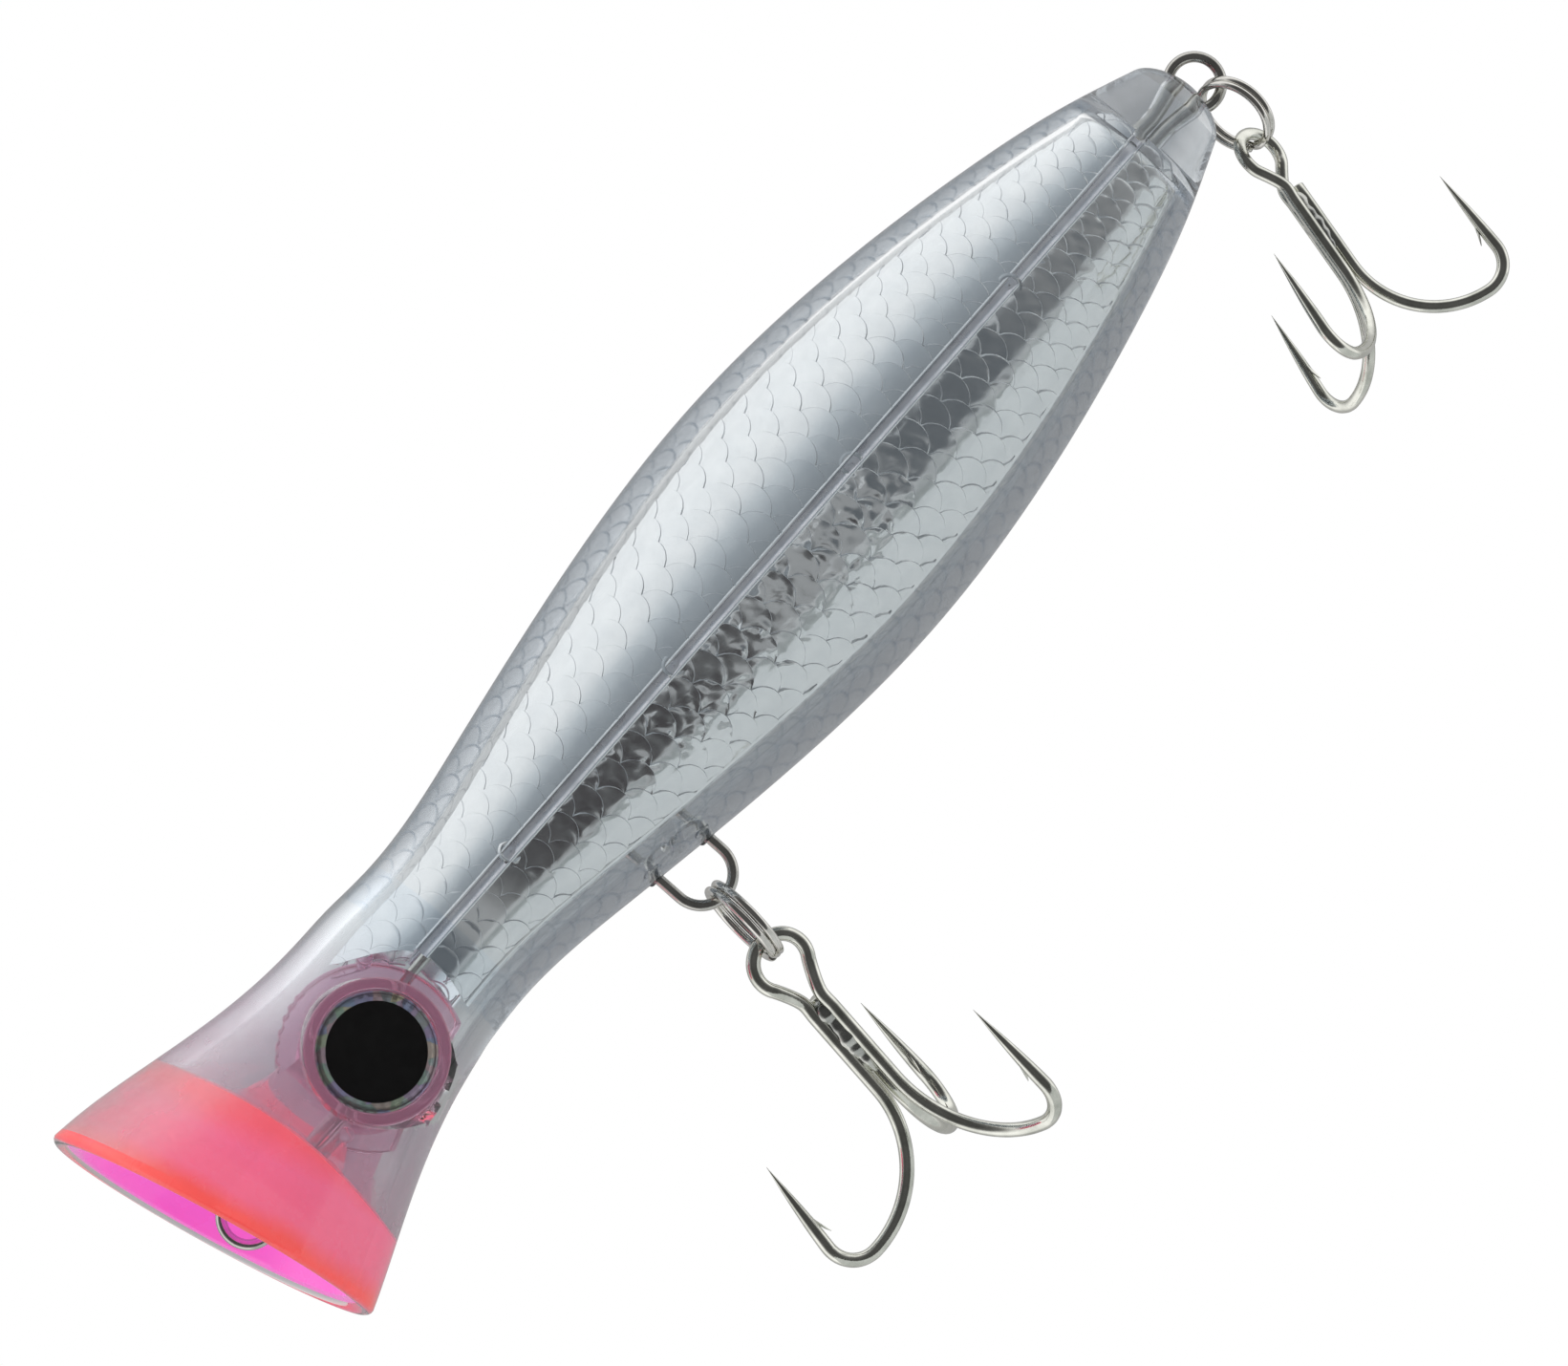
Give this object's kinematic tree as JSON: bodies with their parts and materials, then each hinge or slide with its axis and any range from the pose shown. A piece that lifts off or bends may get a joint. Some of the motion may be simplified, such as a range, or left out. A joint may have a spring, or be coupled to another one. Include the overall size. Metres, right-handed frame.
{
  "type": "topwater popper",
  "caption": "Clear-shelled topwater popper with a cupped mouth, domed eyes, chrome flank liners, and treble hooks that swing on split rings at belly and tail",
  "frame": {"origin": "centre of the tow eye in the mouth", "axes": "+X from the mouth to the tail along the body axis, +Z to the back (up), +Y to the lure's right side"},
  "size_m": [0.1433, 0.0381, 0.0647],
  "materials": {
    "clear_shell": "clear moulded plastic, polished, faint lilac tint",
    "flank_foil": "metallised film embossed with overlapping scales",
    "cup_plastic": "bright moulded plastic, magenta inside and coral outside",
    "pink_clear": "clear moulded plastic, pink tint",
    "iris_foil": "faceted holographic film",
    "pupil_black": "glossy black print",
    "clear_lens": "clear domed resin",
    "wire_steel": "drawn stainless wire",
    "ring_steel": "polished stainless wire",
    "hook_steel": "bright tinned wire with a slightly uneven plating",
    "braze": "tinned braze, lumpy",
    "weight_metal": "plain cast"
  },
  "bodies": {
    "lure_body": {"shell_left": "clear_shell", "shell_right": "clear_shell", "foil_left": "flank_foil", "foil_right": "flank_foil", "cup_insert": "cup_plastic", "head_frame": "pink_clear", "eye_left_seat": "pink_clear", "eye_left_iris": "iris_foil", "eye_left_pupil": "pupil_black", "eye_left_lens": "clear_lens", "eye_right_seat": "pink_clear", "eye_right_iris": "iris_foil", "eye_right_pupil": "pupil_black", "eye_right_lens": "clear_lens", "through_wire": "wire_steel", "belly_weight": "weight_metal", "tail_weight": "weight_metal"},
    "belly_ring": {"belly_split_ring": "ring_steel"},
    "belly_hook": {"belly_hook_double": "hook_steel", "belly_hook_third": "hook_steel", "belly_hook_braze": "braze"},
    "tail_ring": {"tail_split_ring": "ring_steel"},
    "tail_hook": {"tail_hook_double": "hook_steel", "tail_hook_third": "hook_steel", "tail_hook_braze": "braze"}
  },
  "joints": [
    {"name": "belly_ring_swing", "type": "hinge", "parent": "lure_body", "child": "belly_ring", "pos_m": [0.04805, 0, -0.0125], "axis": [1, 0, 0], "range_deg": [-80, 45]},
    {"name": "belly_hook_swing", "type": "hinge", "parent": "belly_ring", "child": "belly_hook", "pos_m": [0.04746, 0.00209, -0.01896], "axis": [0, 0.9516, 0.3074], "range_deg": [-60, 60]},
    {"name": "tail_ring_swing", "type": "hinge", "parent": "lure_body", "child": "tail_ring", "pos_m": [0.12935, 0, 0.00109], "axis": [1, 0, 0], "range_deg": [-20, 18]},
    {"name": "tail_hook_swing", "type": "hinge", "parent": "tail_ring", "child": "tail_hook", "pos_m": [0.1285, 0.00147, -0.0041], "axis": [0.4513, -0.7817, -0.4305], "range_deg": [-50, 60]}
  ]
}
